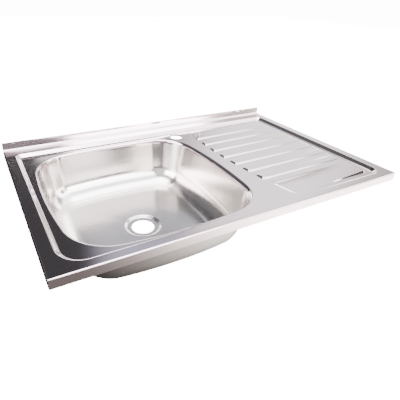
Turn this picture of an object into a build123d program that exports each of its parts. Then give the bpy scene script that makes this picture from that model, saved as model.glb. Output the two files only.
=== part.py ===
from math import cos, radians, sin, sqrt, tan
from build123d import *
import os

# Sit-on kitchen sink: a folded stainless deck with one drawn bowl on the left and a fluted
# drainer on the right. Lengths are millimetres. X runs from the bowl towards the drainer,
# Y from the front edge towards the wall and Z up. The origin lies under the middle of the
# deck, level with the underside of the drain seat, which is the lowest point.

# Deck
deck_width = 800.0
deck_depth = 500.0
sheet = 0.8
skirt_height = 18.5
corner_radius = 3.0
fold_radius = 2.4
upstand_height = 18.0
upstand_thickness = 5.0
upstand_root_radius = 4.0

# Return lip folded in under the skirts, with its upturned end that the clips hook over
lip_width = 17.8
hook_height = 7.0
hook_end_gap = 30.0

# Shallow recess that keeps the water on the deck
recess_depth = 7.0
recess_side_margin = 24.0
recess_front_margin = 20.0
recess_back_margin = 41.0
recess_taper = 45.0
recess_corner_radius = 12.0
recess_front_left_radius = 45.0
recess_foot_radius = 2.0

# Bowl, placed by the land left between its mouth and the edges of the recess
bowl_left_land = 22.0
bowl_front_land = 13.5
bowl_back_land = 22.5
bowl_bow = 17.0
bowl_corner_radius = 88.0
bowl_depth = 125.0
bowl_wall_taper = 11.0
bowl_floor_radius = 52.0
mouth_radius = 5.0

# Drain seat and tap hole
drain_hole_radius = 26.0
drain_seat_radius = 37.0
drain_seat_slope = 5.0
drain_seat_depth = 5.0
drain_offset_x = 3.5
drain_offset_y = -8.5
tap_hole_radius = 17.5
tap_from_bowl_side = 2.5
tap_from_back = 74.0
tap_nut_clearance = 20.0

# Outline of the fluted drainer: leads are measured from its leftmost point
drainer_bowl_land = 35.0
drainer_right_margin = 52.0
drainer_front_margin = 40.5
drainer_back_margin = 67.0
drainer_front_lead = 31.0
drainer_middle_lead = 3.0
drainer_shoulder_lead = 5.5
drainer_notch_lead = 44.0
drainer_notch_drop = 44.0
drainer_corner_radius = 8.0
drainer_edge_taper = 30.0
drainer_sink_taper = 60.0
drainer_sink_depth = 3.0

# Flutes: flat lands and slow ramps, with heights above the recess floor at the bowl side
ridge_count = 7
ridge_back_gap = 52.2
ridge_front_gap = 76.1
ridge_run = 4.0
ridge_height = 1.7
flute_land_width = 16.0
flute_land_height = 0.1
flute_back_height = 1.2
flute_front_fall = 2.2
flute_rise_angle = 1.0

# Hat-section cross members spot-welded under the deck
member_sheet = 1.0
member_width = 10.0
member_height = 9.0
member_flange = 4.0
member_end_gap = 14.0
member_centre_from_bowl = 20.0
member_right_from_drainer = 10.5

# Sound-deadening pads
pad_thickness = 2.0
bowl_pad_width = 65.0
bowl_pad_depth = 170.0
bowl_pad_seat_gap = 8.0
pad_corner_radius = 15.0
drainer_pad_side_gap = 55.0
drainer_pad_end_gap = 67.0

# Cabinet clips
clip_sheet = 1.2
clip_gap = 0.3
clip_length = 32.0
clip_leg = 34.0
clip_bend_radius = 0.8
clip_corner_radius = 4.0
clip_hole_radius = 2.25
clip_hole_spacing = 14.0
clip_hole_edge = 8.0
clip_inset = 125.0

# Earth tab with its screw and nut
tab_sheet = 1.5
tab_width = 16.0
tab_foot = 14.0
tab_drop = 22.0
tab_from_right = 160.0
tab_from_back = 34.0
earth_hole_radius = 2.2
earth_thread_radius = 2.0
earth_hole_drop = 13.0
earth_screw_length = 12.0
earth_head_radius = 4.0
earth_head_height = 3.0
earth_nut_across_flats = 7.0
earth_nut_height = 3.2
thread_fit = 0.05

# Tolerance for picking edges by place
snap = 0.01

# Levels and edges that follow from the sizes above
floor_z = drain_seat_depth + sheet
rim_z = floor_z + bowl_depth
recess_z = rim_z - recess_depth
skirt_foot_z = rim_z - skirt_height
under_recess_z = recess_z - sheet
left_edge = -deck_width / 2
right_edge = deck_width / 2
front_edge = -deck_depth / 2
back_edge = deck_depth / 2
bowl_left = left_edge + recess_side_margin + bowl_left_land
bowl_front = front_edge + recess_front_margin + bowl_front_land
bowl_size = back_edge - recess_back_margin - bowl_back_land - bowl_front
bowl_right = bowl_left + bowl_size
bowl_x = bowl_left + bowl_size / 2
bowl_y = bowl_front + bowl_size / 2
bowl_plane = Plane((bowl_x, bowl_y, recess_z))
drain_x = bowl_x + drain_offset_x
drain_y = bowl_y + drain_offset_y
tap_x = bowl_right - tap_from_bowl_side
tap_y = back_edge - tap_from_back
drainer_left = bowl_right + drainer_bowl_land
drainer_right = right_edge - drainer_right_margin
drainer_front = front_edge + drainer_front_margin
drainer_back = back_edge - drainer_back_margin


# %% Outlines
def recess_outline(plane):
    """Outline of the recess: tight corners, and one wide corner in front of the bowl."""
    width = deck_width - 2 * recess_side_margin
    depth = deck_depth - recess_front_margin - recess_back_margin
    middle_y = (recess_front_margin - recess_back_margin) / 2
    with BuildSketch(plane) as outline:
        with Locations((0, middle_y)):
            Rectangle(width, depth)
        front_left = outline.vertices().sort_by(Axis.X)[:2].sort_by(Axis.Y)[:1]
        fillet(front_left, recess_front_left_radius)
        square = outline.vertices().filter_by(lambda v: v.X > 0 or v.Y > 0)
        fillet(square, recess_corner_radius)
    return outline.sketch


def bowl_outline(plane, grow):
    """Outline of the bowl: a square with bowed sides and wide round corners, grown by grow."""
    half = bowl_size / 2
    side_radius = ((half - bowl_bow) ** 2 + bowl_bow**2) / (2 * bowl_bow)
    side_centre = side_radius - half
    corner = (sqrt(2 * (side_radius + grow) ** 2 - side_centre**2) - side_centre) / 2
    side = half + grow
    with BuildSketch(plane) as outline:
        with BuildLine():
            ThreePointArc((-corner, -corner), (0, -side), (corner, -corner))
            ThreePointArc((corner, -corner), (side, 0), (corner, corner))
            ThreePointArc((corner, corner), (0, side), (-corner, corner))
            ThreePointArc((-corner, corner), (-side, 0), (-corner, -corner))
        make_face()
        fillet(outline.vertices(), bowl_corner_radius + grow)
    return outline.sketch


def drainer_outline(plane):
    """Outline of the fluted area: an arched edge beside the bowl and a cut back corner."""
    shoulder = (drainer_left + drainer_shoulder_lead, drainer_back - drainer_notch_drop)
    front_left = (drainer_left + drainer_front_lead, drainer_front)
    front_right = (drainer_right, drainer_front)
    back_right = (drainer_right, drainer_back)
    middle = (drainer_left + drainer_middle_lead, (drainer_front + shoulder[1]) / 2)
    notch = (drainer_left + drainer_notch_lead, drainer_back)
    with BuildSketch(plane) as outline:
        with BuildLine():
            Polyline(front_left, front_right, back_right, notch, shoulder)
            ThreePointArc(shoulder, middle, front_left)
        make_face()
        fillet(outline.vertices().group_by(Axis.Y)[0], drainer_corner_radius)
    return outline.sketch


# %% Fluted surface of the drainer
def flute_points():
    """Section along the deck's depth: lands flush with the floor, ramps and steep ridges."""
    first_ridge = drainer_back - ridge_back_gap
    last_ridge = drainer_front + ridge_front_gap
    pitch = (first_ridge - last_ridge) / (ridge_count - 1)
    points = [(back_edge, flute_back_height)]
    for number in range(ridge_count):
        middle = first_ridge - number * pitch
        foot = middle - ridge_run / 2
        points.append((middle + ridge_run / 2, ridge_height))
        points.append((foot, flute_land_height))
        points.append((foot - flute_land_width, flute_land_height))
    points.append((drainer_front, -flute_front_fall))
    points.append((front_edge, -flute_front_fall))
    points.append((front_edge, -skirt_height))
    points.append((back_edge, -skirt_height))
    return points


def flute_land(drop):
    """Solid under the fluted surface, lowered by drop; it rises slowly away from the bowl."""
    rise = radians(flute_rise_angle)
    section = Plane(
        origin=(drainer_left, 0, recess_z - drop),
        x_dir=(0, 1, 0),
        z_dir=(cos(rise), 0, sin(rise)),
    )
    with BuildPart() as land:
        with BuildSketch(section):
            with BuildLine():
                Polyline(*flute_points(), close=True)
            make_face()
        extrude(amount=right_edge - drainer_left)
    return land.part


# %% The air that the press tool leaves over the deck: recess and flutes
with BuildPart() as raised_flutes:
    add(drainer_outline(Plane.XY.offset(recess_z)))
    extrude(amount=recess_depth, taper=drainer_edge_taper)
    add(flute_land(0), mode=Mode.INTERSECT)

with BuildPart() as sunk_flutes:
    add(drainer_outline(Plane.XY.offset(recess_z)))
    extrude(amount=-drainer_sink_depth, taper=drainer_sink_taper)
    add(flute_land(0), mode=Mode.SUBTRACT)

with BuildPart() as pressing:
    add(recess_outline(Plane.XY.offset(rim_z)))
    extrude(amount=-recess_depth, taper=recess_taper)
    fillet(pressing.faces().sort_by(Axis.Z)[0].edges(), recess_foot_radius)
    add(raised_flutes.part, mode=Mode.SUBTRACT)
    add(sunk_flutes.part)


# %% Deck
def bowl_walls(grow, drop):
    """Tapered solid between the bowl's mouth and drop below it, grown sideways by grow."""
    with BuildPart() as walls:
        add(bowl_outline(bowl_plane, grow))
        add(bowl_outline(bowl_plane.offset(-drop), grow - drop * tan(radians(bowl_wall_taper))))
        loft(ruled=True)
    return walls.part


def bowl_cut(form, inset):
    """Cut the bowl's mouth through a folded form and round its edge over into the bowl."""
    edge_z = recess_z - inset
    reach = bowl_size / 2 + inset + snap
    add(bowl_walls(inset, skirt_height), mode=Mode.SUBTRACT)
    mouth = form.edges().filter_by_position(Axis.Z, edge_z - snap, edge_z + snap)
    mouth = mouth.filter_by_position(Axis.X, bowl_x - reach, bowl_x + reach)
    mouth = mouth.filter_by_position(Axis.Y, bowl_y - reach, bowl_y + reach)
    fillet(mouth, mouth_radius - inset)


def upstand_form(inset):
    """Upstand along the wall with its hollow root, down to the foot of the skirt."""
    front = back_edge - upstand_thickness + inset
    back = back_edge - inset
    top = rim_z + upstand_height - inset
    deck_top = rim_z - inset
    root_radius = upstand_root_radius + inset
    shelf = front - 2 * root_radius
    with BuildPart() as form:
        with BuildSketch(Plane.YZ) as section:
            with BuildLine():
                Polyline(
                    (back, skirt_foot_z),
                    (back, top),
                    (front, top),
                    (front, deck_top),
                    (shelf, deck_top),
                    (shelf, skirt_foot_z),
                    close=True,
                )
            make_face()
            root = section.vertices().sort_by_distance((front, deck_top))[0]
            fillet(root, root_radius)
        extrude(amount=deck_width / 2 - inset, both=True)
        with BuildSketch(Plane.XY.offset(skirt_foot_z)):
            RectangleRounded(deck_width - 2 * inset, deck_depth - 2 * inset, corner_radius - inset)
        extrude(amount=skirt_height + upstand_height, mode=Mode.INTERSECT)
    return form.part


def folded_form(inset):
    """Solid inside the folded deck, drawn in by inset from every face of the sheet."""
    with BuildPart() as form:
        with BuildSketch(Plane.XY.offset(skirt_foot_z)):
            RectangleRounded(deck_width - 2 * inset, deck_depth - 2 * inset, corner_radius - inset)
        extrude(amount=skirt_height - inset)
        fillet(form.faces().sort_by(Axis.Z)[-1].edges(), fold_radius - inset)
        add(upstand_form(inset))
        add(pressing.part.moved(Location((0, 0, -inset))), mode=Mode.SUBTRACT)
        bowl_cut(form, inset)
    return form.part


with BuildPart() as deck:
    add(folded_form(0))
    add(folded_form(sheet), mode=Mode.SUBTRACT)
    # return lip under the four skirts
    with BuildSketch(Plane.XY.offset(skirt_foot_z)):
        RectangleRounded(deck_width, deck_depth, corner_radius)
        Rectangle(deck_width - 2 * lip_width, deck_depth - 2 * lip_width, mode=Mode.SUBTRACT)
    extrude(amount=sheet)
    # upturned end of the lip along both sides
    with BuildSketch(Plane.XY.offset(skirt_foot_z)):
        with Locations((left_edge + lip_width - sheet / 2, 0), (right_edge - lip_width + sheet / 2, 0)):
            Rectangle(sheet, deck_depth - 2 * hook_end_gap)
    extrude(amount=hook_height)
    with Locations((tap_x, tap_y, recess_z)):
        Hole(tap_hole_radius, depth=sheet)


# %% Bowl
def bowl_form(grow):
    """Solid bowl, grown by grow outwards and downwards, with its floor edge rounded."""
    with BuildPart() as form:
        add(bowl_walls(grow, recess_z - floor_z + grow))
        fillet(form.faces().sort_by(Axis.Z)[0].edges(), bowl_floor_radius + grow)
    return form.part


with BuildPart() as bowl:
    add(bowl_form(sheet))
    add(bowl_form(0), mode=Mode.SUBTRACT)
    split(bisect_by=Plane.XY.offset(skirt_foot_z), keep=Keep.BOTTOM)
    # pressed seat for the waste, sunk below the floor round the drain hole
    seat_top = drain_seat_radius + drain_seat_slope
    with Locations((drain_x, drain_y, floor_z)):
        Hole(seat_top, depth=sheet)
    with BuildSketch(Plane(origin=(drain_x, drain_y, floor_z), x_dir=(1, 0, 0), z_dir=(0, -1, 0))):
        with BuildLine():
            Polyline(
                (seat_top, 0),
                (drain_seat_radius, -drain_seat_depth),
                (drain_hole_radius, -drain_seat_depth),
                (drain_hole_radius, -drain_seat_depth - sheet),
                (drain_seat_radius, -drain_seat_depth - sheet),
                (seat_top, -sheet),
                close=True,
            )
        make_face()
    revolve(axis=Axis((drain_x, drain_y, 0), (0, 0, 1)))


# %% Stiffeners under the deck
def cross_member(middle_x, front_y, back_y):
    """Hat-section channel whose two flanges lie against the underside of the recess."""
    half = member_width / 2
    with BuildPart() as member:
        with BuildSketch(
            Plane(origin=(middle_x, front_y, under_recess_z), x_dir=(-1, 0, 0), z_dir=(0, 1, 0))
        ):
            with BuildLine():
                Polyline(
                    (-half - member_flange, 0),
                    (-half + member_sheet, 0),
                    (-half + member_sheet, member_sheet - member_height),
                    (half - member_sheet, member_sheet - member_height),
                    (half - member_sheet, 0),
                    (half + member_flange, 0),
                    (half + member_flange, -member_sheet),
                    (half, -member_sheet),
                    (half, -member_height),
                    (-half, -member_height),
                    (-half, -member_sheet),
                    (-half - member_flange, -member_sheet),
                    close=True,
                )
            make_face()
        extrude(amount=back_y - front_y)
    return member


member_front = front_edge + recess_front_margin + member_end_gap
member_back = back_edge - recess_back_margin - member_end_gap
tap_front = tap_y - tap_hole_radius - tap_nut_clearance
cross_member_centre = cross_member(bowl_right + member_centre_from_bowl, member_front, tap_front)
cross_member_right = cross_member(drainer_right + member_right_from_drainer, member_front, member_back)


# %% Sound-deadening pads
def bowl_pad(side):
    """Flat pad stuck under the bowl floor, beside the drain seat."""
    reach = drain_seat_radius + drain_seat_slope + bowl_pad_seat_gap + bowl_pad_width / 2
    with BuildPart() as pad:
        with BuildSketch(Plane((drain_x + side * reach, drain_y, floor_z - sheet))):
            RectangleRounded(bowl_pad_width, bowl_pad_depth, pad_corner_radius)
        extrude(amount=-pad_thickness)
    return pad


bowl_pad_left = bowl_pad(-1)
bowl_pad_right = bowl_pad(1)

with BuildPart() as drainer_pad:
    pad_width = drainer_right - drainer_left - 2 * drainer_pad_side_gap
    pad_depth = drainer_back - drainer_front - 2 * drainer_pad_end_gap
    with BuildSketch(Plane.XY.offset(skirt_foot_z)):
        with Locations(((drainer_left + drainer_right) / 2, (drainer_front + drainer_back) / 2)):
            RectangleRounded(pad_width, pad_depth, pad_corner_radius)
    extrude(amount=skirt_height)
    add(flute_land(sheet), mode=Mode.INTERSECT)
    add(flute_land(sheet + pad_thickness), mode=Mode.SUBTRACT)


# %% Cabinet clips
def cabinet_clip(side, y):
    """Clip that hangs on the upturned lip; its leg is screwed to the cabinet's side."""
    outer = lip_width - sheet - clip_gap
    inner = lip_width + clip_gap
    crown = skirt_foot_z + hook_height + clip_gap
    leg_foot = skirt_foot_z - clip_leg
    hook_foot = skirt_foot_z + sheet + clip_gap
    deck_side = side * deck_width / 2
    inward = (-side, 0, 0)
    with BuildPart() as clip:
        with BuildSketch(Plane(origin=(deck_side, y, 0), x_dir=inward, z_dir=(0, side, 0))):
            with BuildLine():
                Polyline(
                    (outer, hook_foot),
                    (outer, crown),
                    (inner, crown),
                    (inner, leg_foot),
                    (inner + clip_sheet, leg_foot),
                    (inner + clip_sheet, crown + clip_sheet),
                    (outer - clip_sheet, crown + clip_sheet),
                    (outer - clip_sheet, hook_foot),
                    close=True,
                )
            make_face()
        extrude(amount=clip_length / 2, both=True)
        bends = clip.edges().filter_by(Axis.Y).group_by(Axis.Z)[-1]
        fillet(bends, clip_bend_radius)
        corners = clip.edges().filter_by(Axis.X).group_by(Axis.Z)[0]
        fillet(corners, clip_corner_radius)
        hole_origin = (deck_side - side * inner, y, leg_foot)
        leg_face = Plane(origin=hole_origin, x_dir=(0, -side, 0), z_dir=inward)
        with BuildSketch(leg_face):
            with Locations((0, clip_hole_edge), (0, clip_hole_edge + clip_hole_spacing)):
                Circle(clip_hole_radius)
        extrude(amount=clip_sheet, mode=Mode.SUBTRACT)
    return clip


clips = {
    "clip_left_front": cabinet_clip(-1, front_edge + clip_inset),
    "clip_left_back": cabinet_clip(-1, back_edge - clip_inset),
    "clip_right_front": cabinet_clip(1, front_edge + clip_inset),
    "clip_right_back": cabinet_clip(1, back_edge - clip_inset),
}


# %% Earth tab, screw and nut behind the drainer
tab_x = right_edge - tab_from_right
tab_y = back_edge - tab_from_back
tab_top = rim_z - sheet
earth_z = tab_top - earth_hole_drop
across_leg = Plane(origin=(tab_x, tab_y, earth_z), x_dir=(1, 0, 0), z_dir=(0, -1, 0))

with BuildPart() as earth_tab:
    with BuildSketch(Plane(origin=(tab_x, tab_y, tab_top), x_dir=(0, 1, 0), z_dir=(1, 0, 0))):
        with BuildLine():
            Polyline(
                (0, 0),
                (tab_foot, 0),
                (tab_foot, -tab_sheet),
                (tab_sheet, -tab_sheet),
                (tab_sheet, -tab_drop),
                (0, -tab_drop),
                close=True,
            )
        make_face()
    extrude(amount=tab_width / 2, both=True)
    with BuildSketch(across_leg):
        Circle(earth_hole_radius)
    extrude(amount=-tab_sheet, mode=Mode.SUBTRACT)

with BuildPart() as earth_screw:
    with BuildSketch(across_leg):
        Circle(earth_head_radius)
    extrude(amount=earth_head_height)
    fillet(earth_screw.faces().sort_by(Axis.Y)[0].edges(), earth_head_height / 2)
    with BuildSketch(across_leg):
        Circle(earth_thread_radius)
    extrude(amount=-earth_screw_length)

with BuildPart() as earth_nut:
    with BuildSketch(across_leg.offset(-tab_sheet)):
        RegularPolygon(earth_nut_across_flats / 2, 6, major_radius=False)
        Circle(earth_thread_radius + thread_fit, mode=Mode.SUBTRACT)
    extrude(amount=-earth_nut_height)


# %% Name and write every piece
pieces = {
    "deck": deck,
    "bowl": bowl,
    "cross_member_centre": cross_member_centre,
    "cross_member_right": cross_member_right,
    "bowl_pad_left": bowl_pad_left,
    "bowl_pad_right": bowl_pad_right,
    "drainer_pad": drainer_pad,
    "earth_tab": earth_tab,
    "earth_screw": earth_screw,
    "earth_nut": earth_nut,
}
pieces.update(clips)

os.makedirs("parts", exist_ok=True)
for name, piece in pieces.items():
    piece.part.label = name
    export_step(piece.part, f"parts/{name}.step")
    print(name, round(piece.part.volume / 1000, 2), "cm3", len(piece.part.solids()), "solid")
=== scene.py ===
# %% [markdown]
# # A sit-on kitchen sink with a drainer
# The sink is one folded stainless deck with a drawn bowl on the left and a fluted drainer on
# the right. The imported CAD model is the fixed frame: it says where each piece is. This lesson
# dresses it, mostly by drawing the two large pressings again with soft, even curves, because
# polished steel shows every kink in a surface.

# %% Load the frame
import math
import bpy
import bmesh
from mathutils import Matrix, Vector


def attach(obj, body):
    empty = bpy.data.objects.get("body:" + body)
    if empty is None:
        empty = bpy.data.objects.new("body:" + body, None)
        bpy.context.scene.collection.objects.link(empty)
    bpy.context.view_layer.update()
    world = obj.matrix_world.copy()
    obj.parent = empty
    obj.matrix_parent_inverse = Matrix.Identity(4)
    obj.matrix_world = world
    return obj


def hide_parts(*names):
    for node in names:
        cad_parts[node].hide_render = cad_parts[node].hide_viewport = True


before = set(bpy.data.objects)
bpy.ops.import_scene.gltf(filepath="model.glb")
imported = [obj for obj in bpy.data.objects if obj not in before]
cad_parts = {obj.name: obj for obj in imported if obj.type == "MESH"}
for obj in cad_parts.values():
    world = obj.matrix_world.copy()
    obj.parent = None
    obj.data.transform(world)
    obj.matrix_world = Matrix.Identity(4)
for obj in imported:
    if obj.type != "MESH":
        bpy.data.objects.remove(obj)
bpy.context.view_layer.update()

# %% [markdown]
# ## Measuring in millimetres
# A pressing is drawn from its front left top corner, so every helper takes millimetres from
# that corner, with z = 0 on the rim, and turns them into the frame's metres. One helper does
# it for all pieces, so a wrong offset would show everywhere at once.

# %% One helper for places
deck_width, deck_depth, rim_height, sheet = 800.0, 500.0, 130.8, 0.8
mm_per_metre = 1000


def spot(x, y, z):
    """A place in metres from millimetres right, back and up from the rim's front left corner."""
    right, back, up = x - deck_width / 2, y - deck_depth / 2, z + rim_height
    return Vector((right / mm_per_metre, back / mm_per_metre, up / mm_per_metre))


print("front left corner of the rim", spot(0, 0, 0)[:])

# %% [markdown]
# ## Camera
# The photograph was taken from above the front left corner with a fairly wide lens. The place,
# aim and focal length were found by fitting the deck's corners, the bowl's rim and the two
# holes. A small shift stands for the crop of the picture.

# %% Camera
picture_px, sensor_mm = 400, 36
focal_px, centre_px, centre_py = 361.0, 169.7, 183.9
camera_spot, near_clip = (-41.0, -406.1, 363.4), 0.02
azimuth, elevation, roll = (math.radians(a) for a in (29.59, 28.5, 2.23))
level = math.cos(elevation)
aim = Vector((math.sin(azimuth) * level, math.cos(azimuth) * level, -math.sin(elevation)))
level_right = Vector((math.cos(azimuth), -math.sin(azimuth), 0.0))
level_up = level_right.cross(aim)
camera_right = math.cos(roll) * level_right + math.sin(roll) * level_up
camera_up = math.cos(roll) * level_up - math.sin(roll) * level_right
camera = bpy.data.objects.new("camera", bpy.data.cameras.new("camera"))
bpy.context.scene.collection.objects.link(camera)
camera.matrix_world = Matrix((camera_right, camera_up, -aim)).transposed().to_4x4()
camera.location = spot(*camera_spot)
camera.data.lens = focal_px / picture_px * sensor_mm
camera.data.shift_x = (picture_px / 2 - centre_px) / picture_px
camera.data.shift_y = (centre_py - picture_px / 2) / picture_px
camera.data.clip_start = near_clip
bpy.context.scene.camera = camera
shift = [round(s, 3) for s in (camera.data.shift_x, camera.data.shift_y)]
print("lens", round(camera.data.lens, 2), "mm, shift", shift)

# %% [markdown]
# ## Rings and skins
# Pressed sheet is easy to build from rings: a closed outline at one height, then the same
# outline pulled out of it a little further in or down, and so on. Bridging separate loops would
# also do it, but an extruded ring keeps each point in line with the one before, so long
# straight sides never twist.

# %% Helpers for rings
def place_ring(verts, points, z):
    """Move a ring's vertices to its points, all at one height or each at its own."""
    heights = z if isinstance(z, list) else [z] * len(points)
    for vert, (x, y), height in zip(verts, points, heights):
        vert.co = spot(x, y, height)
    return verts


def ring(bm, points, z):
    """A closed ring of vertices: the circle operator makes it and each vertex is moved in place."""
    made = bmesh.ops.create_circle(bm, cap_ends=False, segments=len(points), radius=1.0)
    return place_ring(made["verts"], points, z)


def ring_edges(verts):
    """The edges that join a ring's own vertices."""
    members = set(verts)
    touching = dict.fromkeys(e for v in verts for e in v.link_edges)
    return [e for e in touching if e.verts[0] in members and e.verts[1] in members]


def next_ring(bm, verts, points, z):
    """Extrude a ring's edges and move the new ring to its own points."""
    made = bmesh.ops.extrude_edge_only(bm, edges=ring_edges(verts))["geom"]
    members = set(verts)
    partner = {}
    for vert in (g for g in made if isinstance(g, bmesh.types.BMVert)):
        for edge in vert.link_edges:
            if edge.other_vert(vert) in members:
                partner[edge.other_vert(vert)] = vert
    return place_ring([partner[v] for v in verts], points, z)


def sweep(bm, outline, section):
    """A skin through one outline at each growth and height of a section; gives its end rings."""
    first = last = ring(bm, outline(section[0][0]), section[0][1])
    for grow, z in section[1:]:
        last = next_ring(bm, last, outline(grow), z)
    return first, last


def arc(centre, radius, start, end, steps):
    """Points of an arc in a section, with angles in degrees."""
    angles = [math.radians(start + (end - start) * i / steps) for i in range(steps + 1)]
    return [(centre[0] + radius * math.cos(a), centre[1] + radius * math.sin(a)) for a in angles]


quarter_roll = arc((0.0, 0.0), 1.0, 0, 90, 2)
print("a quarter arc in two steps", [(round(x, 3), round(y, 3)) for x, y in quarter_roll])

# %% [markdown]
# ## From skin to sheet
# Each pressing is drawn as a skin without thickness and thickened at the end, so both sides run
# side by side everywhere. The faces have to point up first, or the steel would grow upwards.
# Smooth shading makes the curves soft, but it would also smear the light over a real crease, so
# edges that bend by more than a chosen angle are marked crisp before the mesh is handed over.

# %% Helpers for sheets and pieces
def make_sheet(bm):
    """Turn a skin's faces upwards and give it the sheet's thickness downwards."""
    bmesh.ops.recalc_face_normals(bm, faces=bm.faces)
    if sum(f.normal.z * f.calc_area() for f in bm.faces) < 0:
        bmesh.ops.reverse_faces(bm, faces=bm.faces)
    bmesh.ops.solidify(bm, geom=bm.faces[:], thickness=sheet / mm_per_metre)


def piece(name, bm, body, crisp):
    """Make a smooth object of a bmesh, with edges over so many degrees kept crisp, on its body."""
    mesh = bpy.data.meshes.new(name)
    for face in bm.faces:
        face.smooth = True
    for edge in bm.edges:
        edge.smooth = not edge.is_manifold or edge.calc_face_angle() < math.radians(crisp)
    print(name, "keeps", sum(not e.smooth for e in bm.edges), "crisp edges")
    bm.to_mesh(mesh)
    bm.free()
    thing = bpy.data.objects.new(name, mesh)
    bpy.context.scene.collection.objects.link(thing)
    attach(thing, body)
    return thing


print("sheet thickness", sheet, "mm")

# %% [markdown]
# ## The bowl's outline
# The bowl is a square with sides that bow outwards and wide round corners. A subdivided cube
# would come near it, but the radius of its corners can't be set. Every ring of the bowl is the
# same outline moved along its own normal, so the outline is kept as points with normals.

# %% Bowl outline as points and normals
bowl_x, bowl_y, bowl_half, bowl_bow, bowl_corner = 247.5, 235.0, 201.5, 17.0, 88.0
side_steps, corner_steps = 14, 18
side_radius = ((bowl_half - bowl_bow) ** 2 + bowl_bow**2) / (2 * bowl_bow)
side_centre = side_radius - bowl_half
corner_square = 2 * (side_radius - bowl_corner) ** 2 - side_centre**2
corner_place = (math.sqrt(corner_square) - side_centre) / 2
half_side = math.atan2(corner_place, corner_place + side_centre)
corner_end = math.pi / 2 - half_side
side_arc = ((-side_centre, 0), side_radius, -half_side, half_side, side_steps)
corner_arc = ((corner_place, corner_place), bowl_corner, half_side, corner_end, corner_steps)
bowl_track = []
for quarter in range(4):
    turn = quarter * math.pi / 2
    for middle, radius, start, end, steps in (side_arc, corner_arc):
        place = Matrix.Rotation(turn, 2) @ Vector(middle)
        for i in range(steps):
            a = start + (end - start) * i / steps + turn
            normal = Vector((math.cos(a), math.sin(a)))
            bowl_track.append((Vector((bowl_x, bowl_y)) + place + radius * normal, normal))


def bowl_ring(grow):
    """The bowl's outline, grown outwards by so many millimetres."""
    return [tuple(p + grow * n) for p, n in bowl_track]


print("bowl outline has", len(bowl_track), "points")

# %% [markdown]
# ## The bowl
# A drawn bowl has leaning walls that roll into the floor on one large radius. The floor isn't
# flat: it falls a few millimetres to the drain, or water would stay in it. The drain sits in a
# pressed seat, so that the flange of a waste lies below the floor. All of it is one run of rings
# from the deck's collar down to the hole: first the outline, then rings that turn little by
# little into circles round the drain.

# %% Bowl walls
recess_z, skirt_z, floor_z = -7.0, -18.5, -125.0
lean_deg, floor_radius, floor_fall = 11.0, 52.0, 3.5
wall_rings, roll_steps = 7, 20
wall_lean = math.radians(lean_deg)
knee_z = floor_z + floor_fall + floor_radius
knee_grow = (knee_z - recess_z) * math.tan(wall_lean) - floor_radius / math.cos(wall_lean)
wall_foot = knee_z - floor_radius * math.sin(wall_lean)
wall_section = []
for i in range(wall_rings):
    z = skirt_z + (wall_foot - skirt_z) * i / wall_rings
    wall_section.append(((z - recess_z) * math.tan(wall_lean), z))
wall_section += arc((knee_grow, knee_z), floor_radius, -lean_deg, -90, roll_steps)
bowl_bm = bmesh.new()
bowl_last = sweep(bowl_bm, bowl_ring, wall_section)[1]
print("the floor starts", round(-knee_grow, 1), "mm inside the mouth")

# %% Bowl floor and drain seat
drain_x, drain_y, floor_rings = 251.0, 226.5, 6
# Radius round the drain and height over the lowest part of the floor, from the rim to the hole.
seat_section = [(46.0, 0.0), (43.2, 0.0), (42.4, -0.15), (41.6, -0.6), (38.4, -4.2), (37.4, -4.8)]
seat_section += [(36.2, -5.0), (31.0, -5.0), (26.6, -5.0), (26.15, -5.15), (26.0, -5.5)]
seat_rim = seat_section[0][0]


def seat_ring(radius):
    """A circle round the drain, with its points in the directions of the bowl's outline."""
    middle = Vector((drain_x, drain_y))
    knee = bowl_ring(knee_grow)
    return [tuple(middle + radius * (Vector(p) - middle).normalized()) for p in knee]


for i in range(1, floor_rings):
    share = i / floor_rings
    mixed = [
        ((1 - share) * a[0] + share * b[0], (1 - share) * a[1] + share * b[1])
        for a, b in zip(bowl_ring(knee_grow), seat_ring(seat_rim))
    ]
    bowl_last = next_ring(bowl_bm, bowl_last, mixed, floor_z + floor_fall * (1 - share))
for radius, z in seat_section:
    bowl_last = next_ring(bowl_bm, bowl_last, seat_ring(radius), floor_z + z)
make_sheet(bowl_bm)
bowl_crisp = 40
bowl = piece("bowl_drawn", bowl_bm, "sink", bowl_crisp)
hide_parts("bowl")

# %% [markdown]
# ## The recess
# A shallow recess with sloped sides keeps the water on the deck. Its outline is a rectangle with
# two larger corners in front. The rings run down the slope, with a small arc at the top edge and
# another at the foot, because a folded edge that is really sharp never catches light. A box
# pushed into the deck and bevelled would give the folds, but not three different corners.

# %% Recess
recess_left, recess_right, recess_front, recess_back = 24.0, 776.0, 20.0, 459.0
back_corner, front_left_corner, front_right_corner, corner_parts = 12.0, 45.0, 30.0, 12
fold, slope_deg, fold_steps = 3.6, 45.0, 4
top_margin, foot_margin = 0.6, 0.4
tangent = fold * math.tan(math.radians(slope_deg / 2))


def recess_ring(grow):
    """The recess outline, grown outwards by so many millimetres."""
    corners = [
        (recess_right, recess_back, back_corner),
        (recess_left, recess_back, back_corner),
        (recess_left, recess_front, front_left_corner),
        (recess_right, recess_front, front_right_corner),
    ]
    points = []
    for quarter, (x, y, radius) in enumerate(corners):
        cx = x - radius if x == recess_right else x + radius
        cy = y - radius if y == recess_back else y + radius
        for i in range(corner_parts + 1):
            a = math.radians(90 * quarter + 90 * i / corner_parts)
            reach = radius + grow
            points.append((cx + reach * math.cos(a), cy + reach * math.sin(a)))
    return points


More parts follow.
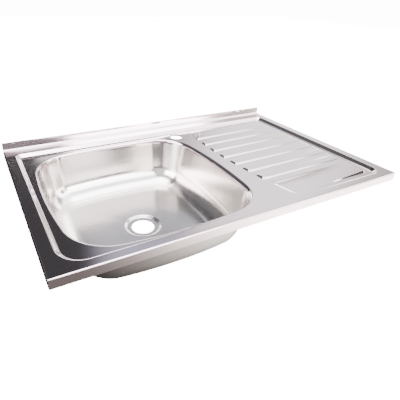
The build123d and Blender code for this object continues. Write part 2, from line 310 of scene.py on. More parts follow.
recess_section = [(tangent + top_margin, 0.0)]
recess_section += arc((tangent, -fold), fold, 90, 90 + slope_deg, fold_steps)
foot_centre = (recess_z - tangent, recess_z + fold)
recess_section += arc(foot_centre, fold, slope_deg - 90, -90, fold_steps)
recess_section += [(recess_z - tangent - foot_margin, recess_z)]
deck_bm = bmesh.new()
recess_foot = sweep(deck_bm, recess_ring, recess_section)[1]
print("recess foot", len(recess_foot), "points")

# %% [markdown]
# ## Mouth and tap hole
# The bowl's mouth is turned down from the recess floor in a soft roll, and ends in a short
# collar that the bowl is seam-welded to. The roll is wider on the drainer's side, so each point
# of a ring has its own radius and height. The tap hole's edge is turned down too, in a roll so
# small that it only shows as a bright line. A bevel could round both, but not by a radius that
# changes on the way round.

# %% Mouth of the bowl
mouth_radius, wider_roll, mouth_margin, mouth_steps = 5.0, 3.0, 0.4, 9
mouth_rolls = [mouth_radius + wider_roll * max(0.0, normal.x) ** 2 for _, normal in bowl_track]
mouth_reach = math.tan((math.pi / 2 - wall_lean) / 2)
mouth_arc = arc((mouth_reach, -1.0), 1.0, 90, 180 - lean_deg, mouth_steps)


def mouth_ring(across, extra):
    """One ring of the roll, across its arc, with the roll's own radius at each point."""
    return [tuple(p + (across * r + extra) * n) for (p, n), r in zip(bowl_track, mouth_rolls)]


mouth_top = mouth_last = ring(deck_bm, mouth_ring(mouth_reach, mouth_margin), recess_z)
for across, down in mouth_arc:
    depths = [recess_z + down * r for r in mouth_rolls]
    mouth_last = next_ring(deck_bm, mouth_last, mouth_ring(across, 0.0), depths)
next_ring(deck_bm, mouth_last, bowl_ring((skirt_z - recess_z) * math.tan(wall_lean)), skirt_z)
print("mouth reaches", round(mouth_reach * max(mouth_rolls), 2), "mm past the wall")

# %% Tap hole
tap_x, tap_y, tap_radius, tap_points = 446.5, 426.0, 17.5, 48
tap_roll, tap_margin, tap_steps, tap_middle, tap_foot = 0.9, 1.6, 5, 3.0, 5.0


def tap_ring(grow):
    """A circle round the tap hole."""
    reach = tap_radius + grow
    angles = [i * math.tau / tap_points for i in range(tap_points)]
    return [(tap_x + reach * math.cos(a), tap_y + reach * math.sin(a)) for a in angles]


tap_section = [(tap_margin, recess_z)]
tap_section += arc((tap_roll, recess_z - tap_roll), tap_roll, 90, 180, tap_steps)
tap_section += [(0.0, recess_z - tap_middle), (0.0, recess_z - tap_foot)]
tap_top = sweep(deck_bm, tap_ring, tap_section)[0]
print("tap hole", 2 * tap_radius, "mm wide, turned down by", tap_foot, "mm")

# %% [markdown]
# ## The drainer
# The drainer is a panel that tilts up away from the bowl, with seven ridges. Each flute starts
# flush with the floor, climbs to its crest and drops steeply, so its left end is a thin wedge
# with a rounded front corner. The whole panel is one rule that gives a height for a place, and
# a grid that is moved up or down by it. A cut-out and extrusion for each flute would give hard
# creases in the wrong places. First come the sizes and the arched edge beside the bowl, which is
# the circle through three places that the photograph shows.

# %% Sizes and arched edge of the drainer
drainer_right, drainer_front, drainer_back = 748.0, 40.5, 433.0
shoulder_x, shoulder_y, notch_x = 489.5, 389.0, 528.0
arch_places = [(shoulder_x, shoulder_y), (487.0, 214.75), (515.0, drainer_front)]
first_ridge, ridge_pitch, ridge_count = 380.8, 44.03, 7
ridge_lines = [first_ridge - ridge_pitch * i for i in range(ridge_count)]
ridge_run, ridge_height, land = 4.0, 1.7, 16.0


def circle_through(places):
    """Centre and radius of the circle through three places."""
    (x1, y1), (x2, y2), (x3, y3) = places
    a = 2 * (x2 - x1), 2 * (y2 - y1), x2 * x2 - x1 * x1 + y2 * y2 - y1 * y1
    b = 2 * (x3 - x1), 2 * (y3 - y1), x3 * x3 - x1 * x1 + y3 * y3 - y1 * y1
    det = a[0] * b[1] - a[1] * b[0]
    cx, cy = (a[2] * b[1] - a[1] * b[2]) / det, (a[0] * b[2] - a[2] * b[0]) / det
    return cx, cy, math.hypot(x1 - cx, y1 - cy)


arch_x, arch_y, arch_radius = circle_through(arch_places)


def left_edge(y):
    """Where the drainer starts at depth y: an arch, then a straight cut at the back corner."""
    if y > shoulder_y:
        past = min(y, drainer_back) - shoulder_y
        return shoulder_x + past * (notch_x - shoulder_x) / (drainer_back - shoulder_y)
    return arch_x - math.sqrt(arch_radius**2 - (y - arch_y) ** 2)


print("arched edge radius", round(arch_radius), "mm")

# %% [markdown]
# ## Slopes and corners of the drainer
# Every edge of the panel is a short slope, and where two edges meet, the slope goes round a
# corner. Three small rules do all of them: a ramp, the distance inside a rounded corner, and how
# far round the corner a place lies. The ramp is part straight and part S-shaped, because pure
# S-curves look like rubber and straight ones like folded card.

# %% Rules for slopes and corners
straight_share, soft_share = 0.35, 0.65


def unit(value):
    """A value held between 0 and 1."""
    return min(1.0, max(0.0, value))


def ramp(value):
    """A slope from 0 to 1 with softened ends."""
    t = unit(value)
    return straight_share * t + soft_share * t * t * (3 - 2 * t)


def inside_corner(a, b, radius):
    """Distance inside a rounded corner, from the distances to its two sides."""
    if a < radius and b < radius:
        return radius - math.hypot(radius - a, radius - b)
    return min(a, b)


def corner_slant(left, ahead, radius):
    """How far round a rounded corner a place lies: 0 on its left side, 1 on its front side."""
    if ahead >= radius:
        return 0.0
    if left >= radius:
        return 1.0
    return math.atan2(radius - ahead, radius - left) / (math.pi / 2)


print("the ramp at a quarter and a half", round(ramp(0.25), 3), round(ramp(0.5), 3))

# %% [markdown]
# ## Flutes and front strip
# A flute is high beside the bowl and fades to the right, where the tilted panel carries the
# water by itself. In front of the last ridge lies a plain strip: it dips below the floor at the
# left and stands up at the right, where its steep front wall is the darkest line of the drainer.
# The wall is wider where it is higher, because the press can't draw it steeper.

# %% Height of the flutes
left_lift, right_lift, fade_length = 1.9, 0.3, 235.0
back_run, crest_start, crest_gain, strip_run = 6.5, 0.85, 0.15, 14.0


def flute_height(x, y):
    """Height of the flutes over the tilted panel, and the flute's number.

    In front of the last ridge it gives how far the panel has turned into the strip.
    """
    fade = left_lift + (right_lift - left_lift) * unit((x - left_edge(y)) / fade_length)
    for number, middle in enumerate(ridge_lines):
        crest, foot = middle + ridge_run / 2, middle - ridge_run / 2
        start = ridge_lines[number - 1] - ridge_run / 2 - land if number else drainer_back
        if y > foot:
            rise = ramp((start - y) / back_run)
            climb = unit((start - y) / (start - crest))
            return fade * ridge_height * rise * (crest_start + crest_gain * climb), number
    start = ridge_lines[-1] - ridge_run / 2 - land
    return ramp((start - y) / strip_run), ridge_count


print("highest flute", round(ridge_height * left_lift, 2), "mm")

# %% Height of the front strip
strip_level_x, strip_fall, strip_sunk, strip_raised = 628.0, 110.0, 1.9, 5.2
wall_least, wall_slope, strip_corner = 0.6, 0.5, 6.0
panel_corner, strip_left_run, strip_front_run = 8.0, 7.0, 0.8


def strip_height(x):
    """Height of the strip in front of the last ridge: sunk at the left, raised at the right."""
    if x < strip_level_x:
        return -strip_sunk * unit((strip_level_x - x) / strip_fall)
    return strip_raised * (x - strip_level_x) / (drainer_right - strip_level_x)


def strip_wall(x):
    """Width of the steep wall in front of the strip."""
    return wall_least + wall_slope * max(0.0, strip_height(x))


def front_strip(x, whole, left, right, front):
    """Height of the strip near its edges: long slopes where it is sunk, a wall where it isn't."""
    slant = corner_slant(left, front, panel_corner)
    width = strip_left_run + (strip_front_run - strip_left_run) * slant
    if whole < 0:
        return whole * ramp(inside_corner(left, front, panel_corner) / width)
    wall_share = inside_corner(right, front, strip_corner) / strip_wall(x)
    return whole * unit(min(wall_share, left / width))


print("front wall", round(strip_wall(drainer_right), 2), "mm wide at its highest")

# %% [markdown]
# ## Cut corner and whole panel
# At the back left the panel is cut off at a slant, and a narrow V-shaped groove runs along the
# cut. It would be a thin extra piece if the panel were built from parts; in a height rule it is
# only a dip before the rise. The last function joins all rules and picks one for each place.

# %% Height anywhere on the drainer
tilt_x, tilt = 484.0, math.tan(math.radians(1.0))
edge_slope, edge_least = 0.6, 0.8
flute_corner, flute_end = 8.0, 3.0
corner_sunk, corner_wall, corner_rise, corner_back, cut_blend = 6.2, 6.02, 1.12, 3.0, 6.0


def edge_run(height):
    """Width of the slope at the panel's edge, for its height there."""
    return max(edge_slope * height, edge_least)


def cut_corner(y, height, left, right, back):
    """Height behind the shoulder: the panel's own height turns into the groove and its wall."""
    cut = unit((y - shoulder_y) / cut_blend)
    whole = height * ramp(inside_corner(right, back, panel_corner) / edge_run(height))
    sunk = corner_sunk * ramp(back / corner_back)
    rise = unit((left - corner_wall) / corner_rise)
    dish = -sunk * unit(left / corner_wall) + (whole + sunk) * rise
    return whole * ramp(left / flute_end) * (1 - cut) + dish * cut


def drainer_height(x, y):
    """Height over the recess floor at a place on the drainer."""
    left = x - left_edge(y)
    if y > shoulder_y:
        left *= math.cos(math.atan((notch_x - shoulder_x) / (drainer_back - shoulder_y)))
    flute, number = flute_height(x, y)
    right, front, back = drainer_right - x, y - drainer_front, drainer_back - y
    body = (x - tilt_x) * tilt
    if number == ridge_count:
        return front_strip(x, body + (strip_height(x) - body) * flute, left, right, front)
    if y > shoulder_y:
        return cut_corner(y, body + flute, left, right, back)
    edge = min(left, inside_corner(right, back, panel_corner), front)
    ahead = y - (ridge_lines[number] - ridge_run / 2)
    width = flute_end + (ridge_run - flute_end) * corner_slant(left, ahead, flute_corner)
    lift = flute * ramp(inside_corner(left, ahead, flute_corner) / width)
    run = edge_run(body + flute)
    return body * ramp(edge / run) + lift * ramp(min(right, back) / run)


right_end = drainer_height(drainer_right - panel_corner, shoulder_y)
print("panel at its right end", round(right_end, 2), "mm over the recess floor")

# %% [markdown]
# ## The drainer's grid
# An even grid that is fine enough for the steep walls would need hundreds of thousands of faces.
# This one has its lines close together at the edges and at every ridge, and far apart between.
# The columns bend with the arched edge, so its light line isn't a staircase. Outside the cut
# corner, a few columns stand away from the edge and carry one short crease.

# %% Rows and columns that follow the drainer
# Millimetres behind the front edge, in front of the back edge and behind the foot of each ridge,
# and shares of the rise with which each flute starts.
front_rows = (-3, -0.6, 0, 0.4, 0.8, 1.2, 1.7, 2.3, 3, 4, 5.5, 7.5, 10, 14, 22, 34)
back_rows = (-6, -3, -0.6, 0, 0.4, 0.8, 1.3, 2, 3, 5, 8, 14, 22, 30, 38)
foot_rows = (-8, -3, -1, 0, 0.5, 1, 1.5, 2, 2.5, 3, 3.5, 4, 4.6, 5.4, 6.2, 7, 8, 9.5, 12, 16)
start_rows = (-0.1, 0, 0.15, 0.3, 0.5, 0.7, 0.85, 1, 1.2)
shoulder_row, front_reach, back_reach = 3, 4, 7
line_ys = {drainer_front + s for s in front_rows} | {drainer_back - s for s in back_rows}
line_ys |= {shoulder_y, shoulder_y + shoulder_row}
for middle in ridge_lines:
    foot = middle - ridge_run / 2
    line_ys |= {foot + s for s in foot_rows}
    line_ys |= {foot - land - back_run * s for s in start_rows}
first_y, last_y = drainer_front - front_reach, drainer_back + back_reach
line_ys = sorted(y for y in line_ys if first_y < y < last_y)
# Columns outside the left edge round the crease, then from the left edge and from the right one.
outside = [-3.0, -0.6, 0.0, 1.2, 2.0]
near_left = [-0.5, 0, 0.4, 0.8, 1.2, 1.6, 2.0, 2.4, 2.9, 3.5, 4.2, 5, 6, 7, 8, 9.5, 12, 16]
middle_columns = 7
near_right = [9, 6, 4.5, 3.4, 2.6, 2.0, 1.4, 0.9, 0.4, 0, -0.6, -3]
columns = len(outside) + len(near_left) + middle_columns + len(near_right)
print("drainer grid", columns, "by", len(line_ys))

# %% Crease beside the cut corner
crease_x, crease_rise, crease_least, flat_columns = 500.0, 0.3, 3.2, 3
crease_start, crease_end, crease_fade = 4.0, 1.0, 2.0


def crease_gap(y):
    """How far outside the panel's edge the crease lies."""
    if y <= shoulder_y:
        return crease_least
    share = (min(y, drainer_back) - shoulder_y) / (drainer_back - shoulder_y)
    return max(crease_least, left_edge(y) - (shoulder_x + (crease_x - shoulder_x) * share))


def crease_height(y):
    """Height of the crease: it rises behind the shoulder and ends before the back edge."""
    ended = ramp((y - drainer_back + crease_end) / crease_fade)
    return crease_rise * unit((y - shoulder_y) / crease_start) * (1 - ended)


print("crease", crease_rise, "mm high,", round(crease_gap(drainer_back), 1), "mm out at the back")

# %% Lay the grid
wall_rows = 3.0


def grid_place(column, y):
    """Place of one grid point: columns follow the left edge, the first rows the strip's wall."""
    start, facet = left_edge(y), crease_height(y)
    if column < len(outside):
        height = facet if column >= flat_columns else 0.0
        return start - crease_gap(y) + outside[column], y, height
    column -= len(outside)
    if column < len(near_left):
        x = start + near_left[column]
    elif column < len(near_left) + middle_columns:
        first, last = start + near_left[-1], drainer_right - near_right[0]
        x = first + (last - first) * (column - len(near_left) + 1) / (middle_columns + 1)
    else:
        x = drainer_right - near_right[column - len(near_left) - middle_columns]
    if 0 < y - drainer_front <= wall_rows:
        y = drainer_front + (y - drainer_front) * strip_wall(x) / wall_rows
    height = drainer_height(x, y)
    return x, y, max(height, facet) if x <= start else height


grid = bmesh.ops.create_grid(
    deck_bm, x_segments=columns - 1, y_segments=len(line_ys) - 1, size=1.0
)["verts"]
for number, vert in enumerate(grid):
    row, column = divmod(number, columns)
    x, y, z = grid_place(column, line_ys[row])
    vert.co = spot(x, y, recess_z + z)
deck_bm.verts.ensure_lookup_table()
highest = max(v.co.z for v in grid) * mm_per_metre - rim_height - recess_z
print("the drainer rises", round(highest, 2), "mm over the recess floor")

# %% [markdown]
# ## Floor and thickness
# The floor of the recess is flat, with holes in it for the mouth, the tap and the drainer. One
# face of a mesh can't have holes, so the space between their loops is filled with triangles.
# They lie in one plane, so they don't show. The whole skin then gets its thickness at once.

# %% Floor and sheet thickness
def fill_flat(bm, edges):
    """Fill the level space between closed loops of edges with triangles; gives the faces."""
    made = bmesh.ops.triangle_fill(
        bm, use_beauty=True, use_dissolve=False, edges=edges, normal=(0, 0, 1)
    )
    return [g for g in made["geom"] if isinstance(g, bmesh.types.BMFace)]


grid_border = dict.fromkeys(e for v in grid for e in v.link_edges if e.is_boundary)
floor_edges = [e for verts in (recess_foot, mouth_top, tap_top) for e in ring_edges(verts)]
floor_faces = fill_flat(deck_bm, floor_edges + list(grid_border))
print("floor faces", len(floor_faces))
make_sheet(deck_bm)
heights = [v.co.z for v in deck_bm.verts]
print("pressed part z", round(min(heights), 4), round(max(heights), 4))

# %% [markdown]
# ## The folded rim
# The rim with its skirts, return lips and upstand is straight work that the CAD deck already has
# right. So it is a copy of the CAD deck with a window cut round the recess. Four planes slice
# the copy, and the faces inside the window go. The pressed part loses its outer side wall, and
# both faces of the sheet are joined across the gap with flat triangles.

# %% Window in a copy of the CAD deck
window_left, window_right, window_front, window_back = 21.0, 779.0, 18.0, 461.5
merge_gap, slice_gap = 1e-6, 1e-7
rim_bm = bmesh.new()
rim_bm.from_mesh(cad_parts["deck"].data)
bmesh.ops.remove_doubles(rim_bm, verts=rim_bm.verts, dist=merge_gap)
for place, normal in [
    (spot(window_left, 0, 0), (1, 0, 0)),
    (spot(window_right, 0, 0), (1, 0, 0)),
    (spot(0, window_front, 0), (0, 1, 0)),
    (spot(0, window_back, 0), (0, 1, 0)),
]:
    whole = rim_bm.verts[:] + rim_bm.edges[:] + rim_bm.faces[:]
    bmesh.ops.bisect_plane(rim_bm, geom=whole, dist=slice_gap, plane_co=place, plane_no=normal)
low, high = spot(window_left, window_front, 0), spot(window_right, window_back, 0)
inside = []
for face in rim_bm.faces:
    middle = face.calc_center_median()
    if low.x < middle.x < high.x and low.y < middle.y < high.y:
        inside.append(face)
bmesh.ops.delete(rim_bm, geom=inside, context="FACES")
rim_mesh = bpy.data.meshes.new("folded_rim")
rim_bm.to_mesh(rim_mesh)
rim_bm.free()
print("window cut by leaving out", len(inside), "faces")

# %% Join rim and pressed part
upright, wall_slack, level_gap, deck_crisp = 0.1, 0.05, 2e-5, 28
wall_low, sheet_low = spot(0, 0, -sheet - wall_slack).z, spot(0, 0, -sheet).z
outer_wall = [
    f
    for f in deck_bm.faces
    if abs(f.normal.z) < upright
    and all(v.co.z > wall_low for v in f.verts)
    and f.calc_center_median().z > sheet_low
]
bmesh.ops.delete(deck_bm, geom=outer_wall, context="FACES_ONLY")
deck_bm.from_mesh(rim_mesh)
bpy.data.meshes.remove(rim_mesh)
for level, facing in ((0.0, 1), (-sheet, -1)):
    height = spot(0, 0, level).z
    open_edges = [
        e
        for e in deck_bm.edges
        if e.is_boundary and all(abs(v.co.z - height) < level_gap for v in e.verts)
    ]
    faces = fill_flat(deck_bm, open_edges)
    bmesh.ops.reverse_faces(deck_bm, faces=[f for f in faces if f.normal.z * facing < 0])
    print("joined at", level, "with", len(faces), "faces from", len(open_edges), "edges")
print("open edges left", sum(e.is_boundary for e in deck_bm.edges), "of", len(deck_bm.edges))
deck = piece("deck_pressing", deck_bm, "sink", deck_crisp)
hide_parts("deck")

# %% [markdown]
# ## Finishes
# Polished steel is mostly what it mirrors, so its colour is nearly plain and the life comes from
# roughness and tiny bumps: rolling grain along the sheet, and slow waves left by the press. An
# image texture could hold the grain, but noise stretched along one axis has no seams and no
# fixed size. The grain is one node group that every finish here uses with its own values.

# %% Node helpers
def new_group(name, sockets):
    """A shader node group with named inputs and outputs; gives it with its end nodes."""
    group = bpy.data.node_groups.new(name, "ShaderNodeTree")
    for label, way, kind, value in sockets:
        socket = group.interface.new_socket(name=label, in_out=way, socket_type=kind)
        if value is not None:
            socket.default_value = value
    return group, group.nodes.new("NodeGroupInput"), group.nodes.new("NodeGroupOutput")


def node(tree, kind, sockets=None, **settings):
    """Add a node, set its properties, and then its input sockets by their names or numbers."""
    made = tree.nodes.new(kind)
    for key, value in settings.items():
        setattr(made, key, value)
    for key, value in (sockets or {}).items():
        made.inputs[key].default_value = value
    return made


def span(tree, value, start, end, low, high, **settings):
    """Map a value from one range to another; gives the result's socket."""
    limits = {"From Min": start, "From Max": end, "To Min": low, "To Max": high}
    made = node(tree, "ShaderNodeMapRange", limits, **settings)
    tree.links.new(value, made.inputs["Value"])
    return made.outputs["Result"]


def bumps(tree, layers):
    """Bump nodes in a row, one for each height and depth; gives the last one's normal."""
    normal = None
    for height, depth in layers:
        made = node(tree, "ShaderNodeBump", {"Strength": 1.0, "Distance": depth})
        tree.links.new(height, made.inputs["Height"])
        if normal is not None:
            tree.links.new(normal, made.inputs["Normal"])
        normal = made.outputs["Normal"]
    return normal


print("node helpers", [helper.__name__ for helper in (new_group, node, span, bumps)])

# %% Grain group
grain, grain_in, grain_out = new_group(
    "sheet_grain",
    [
        ("Along", "INPUT", "NodeSocketVector", (30.0, 1500.0, 1500.0)),
        ("Wave size", "INPUT", "NodeSocketFloat", 14.0),
        ("Grain", "OUTPUT", "NodeSocketFloat", None),
        ("Waves", "OUTPUT", "NodeSocketFloat", None),
        ("Smudge", "OUTPUT", "NodeSocketFloat", None),
    ],
)
coords = node(grain, "ShaderNodeTexCoord")
stretch = node(grain, "ShaderNodeVectorMath", operation="MULTIPLY")
grain.links.new(coords.outputs["Object"], stretch.inputs[0])
grain.links.new(grain_in.outputs["Along"], stretch.inputs[1])
streaks = node(grain, "ShaderNodeTexNoise", {"Scale": 1.0, "Detail": 3.0})
grain.links.new(stretch.outputs[0], streaks.inputs["Vector"])
waves = node(grain, "ShaderNodeTexNoise", {"Detail": 1.0})
grain.links.new(coords.outputs["Object"], waves.inputs["Vector"])
grain.links.new(grain_in.outputs["Wave size"], waves.inputs["Scale"])
smudge = node(grain, "ShaderNodeTexNoise", {"Scale": 9.0, "Detail": 5.0, "Roughness": 0.6})
grain.links.new(coords.outputs["Object"], smudge.inputs["Vector"])
for label, pattern in (("Grain", streaks), ("Waves", waves), ("Smudge", smudge)):
    grain.links.new(pattern.outputs["Fac"], grain_out.inputs[label])
print("group", grain.name, [i.name for i in grain.interface.items_tree])

# %% [markdown]
# ## Steel and zinc
# The deck's grain runs along its length, and it is nearly a mirror. The bowl is a little duller
# and its grain runs down the walls, because drawing stretches its skin that way. The clips, the
# screw and the nut are plated with zinc, which is greyer and has a fine, even crystal. One
# function makes all three, since they differ only in colour, gloss, and the direction and depth
# of their bumps.

# %% Metal maker
grain_share, smudge_share, noise_low, noise_high = 0.6, 0.4, 0.3, 0.7


def metal(name, colour, warm, along, gloss, grain_depth, wave_depth, wave_size):
    """A metal whose roughness runs between two values with its grain and smudges."""
    made = bpy.data.materials.new(name)
    made.use_nodes = True
    tree = made.node_tree
    shader = tree.nodes["Principled BSDF"]
    shader.inputs["Metallic"].default_value = 1.0
    sizes = {"Along": along, "Wave size": wave_size}
    parts = node(tree, "ShaderNodeGroup", sizes, node_tree=grain)
    tints = {"A": (*colour, 1), "B": (*warm, 1)}
    tint = node(tree, "ShaderNodeMix", tints, data_type="RGBA")
    tree.links.new(parts.outputs["Smudge"], tint.inputs["Factor"])
    tree.links.new(tint.outputs["Result"], shader.inputs["Base Color"])
    blend = node(tree, "ShaderNodeMath", {1: grain_share}, operation="MULTIPLY_ADD")
    tree.links.new(parts.outputs["Grain"], blend.inputs[0])
    share = node(tree, "ShaderNodeMath", {1: smudge_share}, operation="MULTIPLY")
    tree.links.new(parts.outputs["Smudge"], share.inputs[0])
    tree.links.new(share.outputs[0], blend.inputs[2])
    rough = span(tree, blend.outputs[0], noise_low, noise_high, *gloss)
    tree.links.new(rough, shader.inputs["Roughness"])
    layers = [(parts.outputs["Grain"], grain_depth), (parts.outputs["Waves"], wave_depth)]
    tree.links.new(bumps(tree, layers), shader.inputs["Normal"])
    print(name, "has", len(tree.nodes), "nodes")
    return made


print("roughness follows the grain by", grain_share, "and the smudges by", smudge_share)

# %% The three metals
deck_steel = metal(
    "deck_steel",
    colour=(0.76, 0.666, 0.689),
    warm=(0.73, 0.632, 0.649),
    along=(20, 900, 900),
    gloss=(0.07, 0.11),
    grain_depth=2e-7,
    wave_depth=5e-5,
    wave_size=12.0,
)
bowl_steel = metal(
    "bowl_steel",
    colour=(0.75, 0.714, 0.7),
    warm=(0.71, 0.664, 0.644),
    along=(400, 400, 60),
    gloss=(0.15, 0.21),
    grain_depth=5e-7,
    wave_depth=1e-4,
    wave_size=12.0,
)
zinc = metal(
    "zinc_plate",
    colour=(0.66, 0.67, 0.7),
    warm=(0.6, 0.6, 0.58),
    along=(300, 300, 300),
    gloss=(0.25, 0.45),
    grain_depth=8e-6,
    wave_depth=0.0,
    wave_size=12.0,
)
deck.data.materials.append(deck_steel)
bowl.data.materials.append(bowl_steel)
print("metals", [made.name for made in (deck_steel, bowl_steel, zinc)])

# %% [markdown]
# ## The studio
# Steel shows the room, so the room is made with care. Directions are degrees of azimuth, with
# 0 behind the sink, 90 at its right and 180 in front, and degrees of elevation. The left side is
# dark, a bright window stands behind the sink and fades to the right, a lamp is overhead, more
# lamps stand at the left, at the right and in front, and low in front are dark patches that the
# bowl's walls mirror. A pale card at the front left keeps the deck light when it is seen from
# behind. Area lights would give hard panel edges in the sheet. Panels with soft borders in the
# world are smoother and need no objects.

# %% Soft panel group
panel, panel_in, panel_out = new_group(
    "soft_panel",
    [
        ("Azimuth", "INPUT", "NodeSocketFloat", 0.0),
        ("Elevation", "INPUT", "NodeSocketFloat", 0.0),
        ("Centre azimuth", "INPUT", "NodeSocketFloat", 0.0),
        ("Centre elevation", "INPUT", "NodeSocketFloat", 0.0),
        ("Half width", "INPUT", "NodeSocketFloat", 30.0),
        ("Half height", "INPUT", "NodeSocketFloat", 20.0),
        ("Softness", "INPUT", "NodeSocketFloat", 5.0),
        ("Mask", "OUTPUT", "NodeSocketFloat", None),
    ],
)


def panel_math(operation, first, second):
    """A math node of the panel group on two of the group's inputs."""
    made = node(panel, "ShaderNodeMath", operation=operation)
    panel.links.new(panel_in.outputs[first], made.inputs[0])
    panel.links.new(panel_in.outputs[second], made.inputs[1])
    return made


def panel_side(angle, centre, half, wrap):
    """Mask along one angle of a panel."""
    away = panel_math("SUBTRACT", angle, centre)
    if wrap:
        turned = node(panel, "ShaderNodeMath", {1: 180.0, 2: -180.0}, operation="WRAP")
        panel.links.new(away.outputs[0], turned.inputs[0])
        away = turned
    size = node(panel, "ShaderNodeMath", operation="ABSOLUTE")
    panel.links.new(away.outputs[0], size.inputs[0])
    start = panel_math("ADD", half, "Softness")
    end = panel_math("SUBTRACT", half, "Softness")
    fade = node(panel, "ShaderNodeMapRange", interpolation_type="SMOOTHSTEP")
    panel.links.new(size.outputs[0], fade.inputs["Value"])
    panel.links.new(start.outputs[0], fade.inputs["From Min"])
    panel.links.new(end.outputs[0], fade.inputs["From Max"])
    return fade.outputs["Result"]


both = node(panel, "ShaderNodeMath", operation="MULTIPLY")
sideways = panel_side("Azimuth", "Centre azimuth", "Half width", True)
upwards = panel_side("Elevation", "Centre elevation", "Half height", False)
panel.links.new(sideways, both.inputs[0])
panel.links.new(upwards, both.inputs[1])
panel.links.new(both.outputs[0], panel_out.inputs["Mask"])
print("group", panel.name, "has", len(panel.nodes), "nodes")

# %% Directions in the world
world = bpy.data.worlds.new("studio")
bpy.context.scene.world = world
world.use_nodes = True
sky = world.node_tree
sky.nodes.clear()
look = node(sky, "ShaderNodeTexCoord")
split = node(sky, "ShaderNodeSeparateXYZ")
sky.links.new(look.outputs["Generated"], split.inputs[0])


def sky_angle(operation, *axes):
    """An angle in degrees, worked out from the direction's own axes."""
    angle = node(sky, "ShaderNodeMath", operation=operation)
    for number, axis in enumerate(axes):
        sky.links.new(split.outputs[axis], angle.inputs[number])
    degrees = node(sky, "ShaderNodeMath", operation="DEGREES")
    sky.links.new(angle.outputs[0], degrees.inputs[0])
    return degrees.outputs[0]


sky_azimuth, sky_elevation = sky_angle("ARCTAN2", "X", "Y"), sky_angle("ARCSINE", "Z")
print("the world knows azimuth and elevation with", len(sky.nodes), "nodes")

# %% Panels of the room
white, cool, warm, blue = (1.0, 1.0, 1.0), (0.95, 0.97, 1.05), (1.04, 1.0, 0.97), (0.85, 0.9, 1.1)
haze = (0.45, 0.45, 0.47, 1)
# Each row: azimuth, elevation, half width, half height, softness, colour, strength.
panels = [
    (-80, 15, 98, 75, 4, cool, 0.075),  # dark left side
    (-110, 60, 50, 12, 6, warm, 1.0),  # soft light high at the left
    (-44, 38, 26, 17, 8, cool, 0.2),  # dim wall behind at the left
    (-156, 30, 20, 24, 8, white, 1.6),  # pale card at the front left
    (64, 18, 30, 34, 12, warm, 0.9),  # wall behind at the right
    (26, 38, 9, 8, 5, blue, 0.95),  # bluish patch over the window
    (46, 10, 12, 27, 7, white, 2.4),  # window, its faded right part
    (29, 31, 4, 5, 3, warm, 0.45),  # shade over the window
    (18, 30, 4, 3.5, 2, warm, 1.5),  # light beside that shade
    (7, 13, 11, 6, 2, white, 9.0),  # window, its bright left part
    (17.5, 19.5, 10, 3.5, 1, white, 7.0),  # window, its upper part
    (23, 2, 8, 11, 2, cool, 0.07),  # dark sill under the window
    (72, 3, 14, 11, 1.5, cool, 0.08),  # dark patch low at the right
    (53, 6, 3.5, 9, 1.5, white, 9.0),  # narrow gap of light at the right
    (-92, 18, 15, 9, 4, warm, 10.0),  # lamp at the left
    (-103, 32, 27, 13, 4, warm, 18.0),  # larger lamp above it
    (92, 55, 48, 14, 5, white, 6.0),  # lamp high at the right
    (160, 52, 22, 12, 5, white, 4.0),  # lamp high in front
    (0, 82, 180, 16, 5, white, 14.0),  # lamp overhead
    (150, 36, 26, 8, 4, white, 14.0),  # lamp in front
    (117, 22, 18, 17, 4, white, 14.0),  # lamp in front at the right
    (140, 17, 6, 9, 3, warm, 1.6),  # dimmer gap between the lamps in front
    (156, 21, 11, 7, 1.5, white, 20.0),  # bright lamp in front
    (158, 2.5, 16, 13, 1, cool, 0.1),  # dark patch low in front
    (122, 14, 8, 16, 2, white, 0.05),  # dark post at the front right
]


def add_panel(below, centre_az, centre_el, half_width, half_height, softness, colour, strength):
    """Lay a panel of light over what is there already."""
    shape = {
        "Centre azimuth": centre_az,
        "Centre elevation": centre_el,
        "Half width": half_width,
        "Half height": half_height,
        "Softness": softness,
    }
    mask = node(sky, "ShaderNodeGroup", shape, node_tree=panel)
    sky.links.new(sky_azimuth, mask.inputs["Azimuth"])
    sky.links.new(sky_elevation, mask.inputs["Elevation"])
    tones = {"A": haze, "B": (*(c * strength for c in colour), 1)}
    mix = node(sky, "ShaderNodeMix", tones, data_type="RGBA")
    sky.links.new(mask.outputs["Mask"], mix.inputs["Factor"])
    if below is not None:
        sky.links.new(below, mix.inputs["A"])
    return mix.outputs["Result"]


light = None
for row in panels:
    light = add_panel(light, *row)
print("panels", sum(n.type == "GROUP" for n in sky.nodes))

# %% What the camera sees behind the sink
ground_white = 18.0


def seen_apart(tree, mirrored, seen):
    """Give the camera one shader and every mirrored or scattered ray the other."""
    path = node(tree, "ShaderNodeLightPath")
    choose = node(tree, "ShaderNodeMixShader")
    tree.links.new(path.outputs["Is Camera Ray"], choose.inputs[0])
    tree.links.new(mirrored.outputs[0], choose.inputs[1])
    tree.links.new(seen.outputs[0], choose.inputs[2])
    return choose.outputs[0]


room = node(sky, "ShaderNodeBackground")
sky.links.new(light, room.inputs["Color"])
plain = node(sky, "ShaderNodeBackground", {"Strength": ground_white})
sky_out = node(sky, "ShaderNodeOutputWorld")
sky.links.new(seen_apart(sky, room, plain), sky_out.inputs["Surface"])
print("the world has", len(sky.nodes), "nodes")
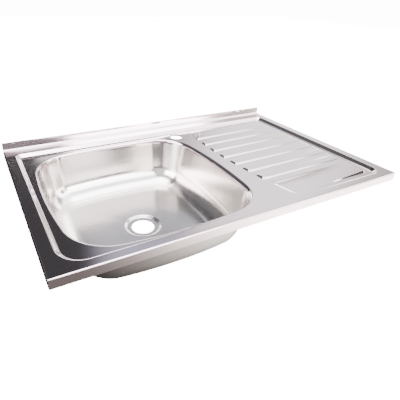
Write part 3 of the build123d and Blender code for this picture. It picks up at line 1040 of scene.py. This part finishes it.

# %% [markdown]
# ## The floor
# The photograph's ground is plain white with no shadow. A white material lit by the room would
# show shadows and a horizon, so the floor glows by itself: plain white to the camera, and a
# softer, slightly warm white to mirrored rays. That glow darkens to the left and brightens in
# front. Under the sink it is dimmed into a painted shadow of the sink, so the skirts and the
# underside of the sink mirror shade there. Two ranges over the floor's own place make them.

# %% Floor
floor_reach, floor_drop = 6.0, -0.0005
dark_x, light_x, dark_share, light_share = -0.35, 0.2, 0.18, 1.0
# Painted shadow of the sink: the mirrored glow is bright in front of the sink and dim under it.
front_y, sink_shadow_y, front_glow, sink_shadow_glow = -0.32, -0.14, 8.0, 1.6
floor_bm = bmesh.new()
bmesh.ops.create_grid(floor_bm, x_segments=1, y_segments=1, size=floor_reach)
bmesh.ops.translate(floor_bm, verts=floor_bm.verts, vec=(0, 0, floor_drop))
floor_mesh = bpy.data.meshes.new("floor")
floor_bm.to_mesh(floor_mesh)
floor_bm.free()
floor = bpy.data.objects.new("floor", floor_mesh)
bpy.context.scene.collection.objects.link(floor)
pale = bpy.data.materials.new("pale_floor")
pale.use_nodes = True
tree = pale.node_tree
tree.nodes.clear()
seen = node(tree, "ShaderNodeEmission", {"Strength": ground_white})
mirrored = node(tree, "ShaderNodeEmission", {"Color": (1.0, 0.93, 0.87, 1)})
place = node(tree, "ShaderNodeTexCoord")
parts = node(tree, "ShaderNodeSeparateXYZ")
tree.links.new(place.outputs["Object"], parts.inputs[0])
soft = {"interpolation_type": "SMOOTHSTEP"}
sideways = span(tree, parts.outputs["X"], dark_x, light_x, dark_share, light_share, **soft)
# Painted shadow: this range dims the mirrored glow from in front of the sink to under it.
sink_shadow_ramp = span(tree, parts.outputs["Y"], front_y, sink_shadow_y, front_glow, sink_shadow_glow, **soft)
pool = node(tree, "ShaderNodeMath", {1: 2.0}, operation="POWER")
tree.links.new(sideways, pool.inputs[0])
glow = node(tree, "ShaderNodeMath", operation="MULTIPLY")
tree.links.new(pool.outputs[0], glow.inputs[0])
tree.links.new(sink_shadow_ramp, glow.inputs[1])
tree.links.new(glow.outputs[0], mirrored.inputs["Strength"])
floor_out = node(tree, "ShaderNodeOutputMaterial")
tree.links.new(seen_apart(tree, mirrored, seen), floor_out.inputs["Surface"])
pale.cycles.emission_sampling = "NONE"
floor.data.materials.append(pale)
print("floor", 2 * floor_reach, "m wide")

# %% [markdown]
# ## The pieces underneath
# Below the deck hang stiffeners, damping pads, an earthing tab and zinc-plated clips. Their CAD
# meshes are good as they are and only need a finish. A pad is a rolled sheet of filled rubber: a
# matt, nearly black skin with a coarse grain, pale scuffs and a faint shine where it was rolled.
# Brushed steel would be wrong for it, so it gets its own small material from the same grain group.

# %% Rubber sheet
crumb_scale, roll_scale, pebble_depth, roll_depth = (900, 900, 900), 60.0, 6e-5, 3e-4
scuff_low, scuff_high, matt_low, matt_high = 0.52, 0.72, 0.62, 0.95
pad_rubber = bpy.data.materials.new("damping_pad")
pad_rubber.use_nodes = True
tree = pad_rubber.node_tree
shader = tree.nodes["Principled BSDF"]
sizes = {"Along": crumb_scale, "Wave size": roll_scale}
crumb = node(tree, "ShaderNodeGroup", sizes, node_tree=grain)
scuff = span(tree, crumb.outputs["Smudge"], scuff_low, scuff_high, 0.0, 1.0, **soft)
shades = {"A": (0.028, 0.028, 0.03, 1), "B": (0.075, 0.072, 0.068, 1)}
skin = node(tree, "ShaderNodeMix", shades, data_type="RGBA")
tree.links.new(scuff, skin.inputs["Factor"])
tree.links.new(skin.outputs["Result"], shader.inputs["Base Color"])
matt = span(tree, crumb.outputs["Grain"], 0.0, 1.0, matt_low, matt_high)
tree.links.new(matt, shader.inputs["Roughness"])
layers = [(crumb.outputs["Grain"], pebble_depth), (crumb.outputs["Waves"], roll_depth)]
tree.links.new(bumps(tree, layers), shader.inputs["Normal"])
print("rubber nodes", len(tree.nodes))

# %% Finishes on the carried-over pieces
for name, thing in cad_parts.items():
    if "pad" in name:
        finish = pad_rubber
    elif name.startswith(("clip", "earth_screw", "earth_nut")):
        finish = zinc
    else:
        finish = deck_steel
    thing.data.materials.clear()
    thing.data.materials.append(finish)
    print(name, "gets", finish.name)
